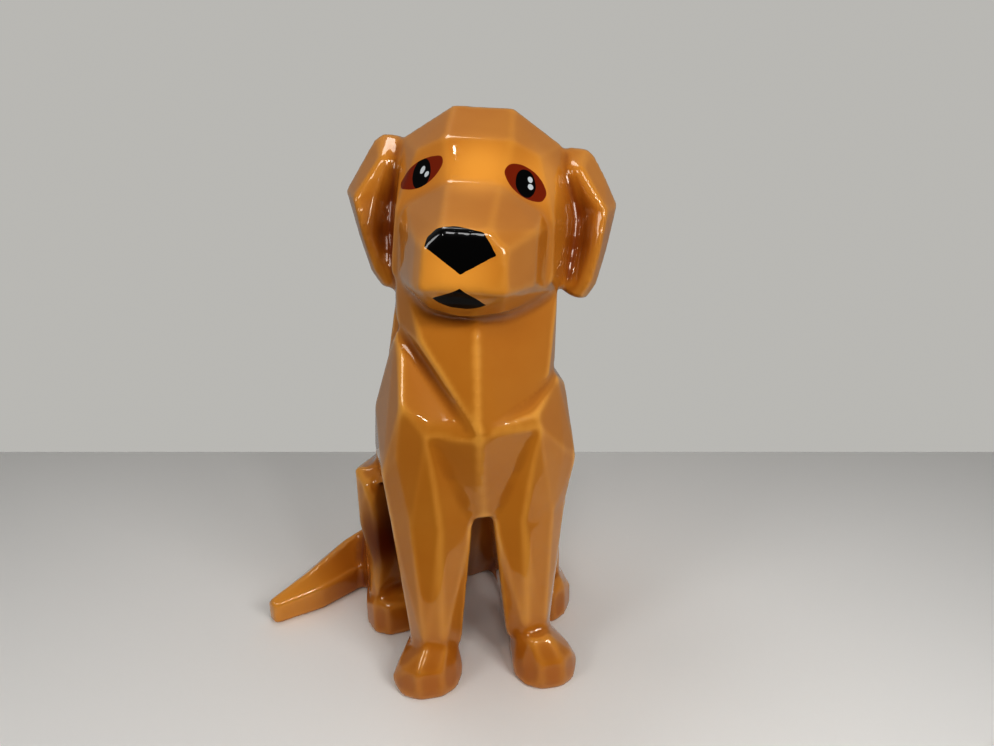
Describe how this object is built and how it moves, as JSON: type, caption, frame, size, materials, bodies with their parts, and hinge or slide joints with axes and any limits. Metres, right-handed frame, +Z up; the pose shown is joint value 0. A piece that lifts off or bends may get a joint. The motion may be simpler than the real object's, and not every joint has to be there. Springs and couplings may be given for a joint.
{
  "type": "dog figurine",
  "caption": "Sitting low-poly dog ornament in glossy honey-brown glazed ceramic, with hanging ears, a painted face and a tail that lies on the floor beside it.",
  "frame": {"origin": "on the floor, under the middle of the figurine's bounding box", "axes": "+Z up, the dog's body faces -Y, +X is the dog's left; the head turns a little to the dog's right"},
  "size_m": [0.2004, 0.1802, 0.2998],
  "materials": {
    "glaze": "gloss"
  },
  "bodies": {
    "root": {"dog_figurine": "glaze"}
  },
  "joints": []
}
